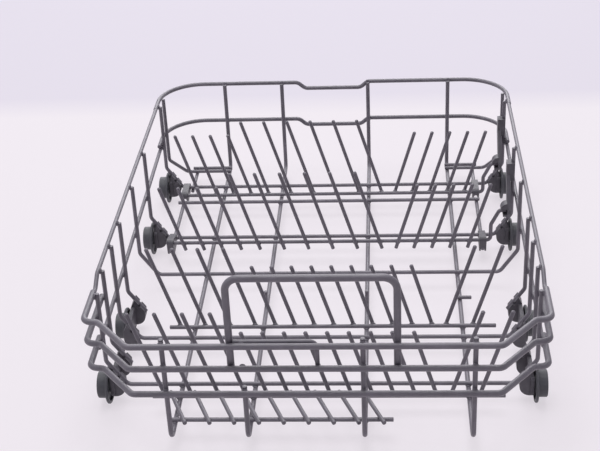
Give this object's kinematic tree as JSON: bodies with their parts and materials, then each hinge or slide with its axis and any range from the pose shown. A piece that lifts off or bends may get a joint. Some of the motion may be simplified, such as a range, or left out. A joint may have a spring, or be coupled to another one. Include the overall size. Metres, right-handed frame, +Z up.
{
  "type": "dishwasher basket",
  "caption": "Lower dishwasher basket of coated wire with folding and fixed tine rows, a lift handle at the front and flanged plastic wheels along both sides.",
  "frame": {"origin": "middle of the basket's width and floor length, on the plane that the wheel flanges stand on", "axes": "+X to the basket's right, +Y to its rear wall, +Z up; the handle is at -Y"},
  "size_m": [0.3886, 0.508, 0.1708],
  "materials": {
    "coated_wire": "satin coating",
    "wheel_plastic": "moulded",
    "clip_plastic": "moulded"
  },
  "bodies": {
    "basket": {"bracket_stays": "coated_wire", "clip_side_wires": "coated_wire", "corner_wires": "coated_wire", "cross_frame_fold": "coated_wire", "cross_frame_front": "coated_wire", "cross_frame_middle": "coated_wire", "cross_frame_rear": "coated_wire", "cross_frame_third_wheel": "coated_wire", "fixed_bar_front": "coated_wire", "fixed_bar_rear": "coated_wire", "fixed_tines_front": "coated_wire", "fixed_tines_rear": "coated_wire", "floor_wire_1": "coated_wire", "floor_wire_2": "coated_wire", "floor_wire_3": "coated_wire", "floor_wire_4": "coated_wire", "front_wire_bottom": "coated_wire", "front_wire_middle": "coated_wire", "front_wire_top": "coated_wire", "grid_bar": "coated_wire", "grid_wires": "coated_wire", "handle": "coated_wire", "handle_strut": "coated_wire", "latch_front": "clip_plastic", "latch_rear": "clip_plastic", "locating_pegs": "coated_wire", "middle_rim": "coated_wire", "middle_side_rails": "coated_wire", "pivot_clips_front": "clip_plastic", "pivot_clips_rear": "clip_plastic", "rear_side_wires": "coated_wire", "rear_ties": "coated_wire", "rest_wire": "coated_wire", "top_rim": "coated_wire", "top_side_rails": "coated_wire", "wheel_brackets_1": "clip_plastic", "wheel_brackets_2": "clip_plastic", "wheel_brackets_3": "clip_plastic", "wheel_brackets_4": "clip_plastic"},
    "rear_row": {"fold_bar_rear": "coated_wire", "fold_tines_rear": "coated_wire"},
    "front_row": {"fold_bar_front": "coated_wire", "fold_tines_front": "coated_wire"},
    "wheel_left_1": {"wheel_left_1": "wheel_plastic"},
    "wheel_left_2": {"wheel_left_2": "wheel_plastic"},
    "wheel_left_3": {"wheel_left_3": "wheel_plastic"},
    "wheel_left_4": {"wheel_left_4": "wheel_plastic"},
    "wheel_right_1": {"wheel_right_1": "wheel_plastic"},
    "wheel_right_2": {"wheel_right_2": "wheel_plastic"},
    "wheel_right_3": {"wheel_right_3": "wheel_plastic"},
    "wheel_right_4": {"wheel_right_4": "wheel_plastic"}
  },
  "joints": [
    {"name": "wheel_left_1_spin", "type": "hinge", "parent": "basket", "child": "wheel_left_1", "pos_m": [-0.189, 0.19165, 0.017], "axis": [1, 0, 0], "continuous": true},
    {"name": "wheel_left_2_spin", "type": "hinge", "parent": "basket", "child": "wheel_left_2", "pos_m": [-0.189, 0.07865, 0.017], "axis": [1, 0, 0], "continuous": true},
    {"name": "wheel_left_3_spin", "type": "hinge", "parent": "basket", "child": "wheel_left_3", "pos_m": [-0.189, -0.0848, 0.017], "axis": [1, 0, 0], "continuous": true},
    {"name": "wheel_left_4_spin", "type": "hinge", "parent": "basket", "child": "wheel_left_4", "pos_m": [-0.189, -0.17645, 0.017], "axis": [1, 0, 0], "continuous": true},
    {"name": "wheel_right_1_spin", "type": "hinge", "parent": "basket", "child": "wheel_right_1", "pos_m": [0.189, 0.19165, 0.017], "axis": [1, 0, 0], "continuous": true},
    {"name": "wheel_right_2_spin", "type": "hinge", "parent": "basket", "child": "wheel_right_2", "pos_m": [0.189, 0.07865, 0.017], "axis": [1, 0, 0], "continuous": true},
    {"name": "wheel_right_3_spin", "type": "hinge", "parent": "basket", "child": "wheel_right_3", "pos_m": [0.189, -0.0848, 0.017], "axis": [1, 0, 0], "continuous": true},
    {"name": "wheel_right_4_spin", "type": "hinge", "parent": "basket", "child": "wheel_right_4", "pos_m": [0.189, -0.17645, 0.017], "axis": [1, 0, 0], "continuous": true},
    {"name": "rear_row_fold", "type": "hinge", "parent": "basket", "child": "rear_row", "pos_m": [0, 0.17085, 0.01753], "axis": [1, 0, 0], "range_deg": [0, 90]},
    {"name": "front_row_fold", "type": "hinge", "parent": "basket", "child": "front_row", "pos_m": [0, 0.05915, 0.02213], "axis": [1, 0, 0], "range_deg": [0, 86]}
  ]
}
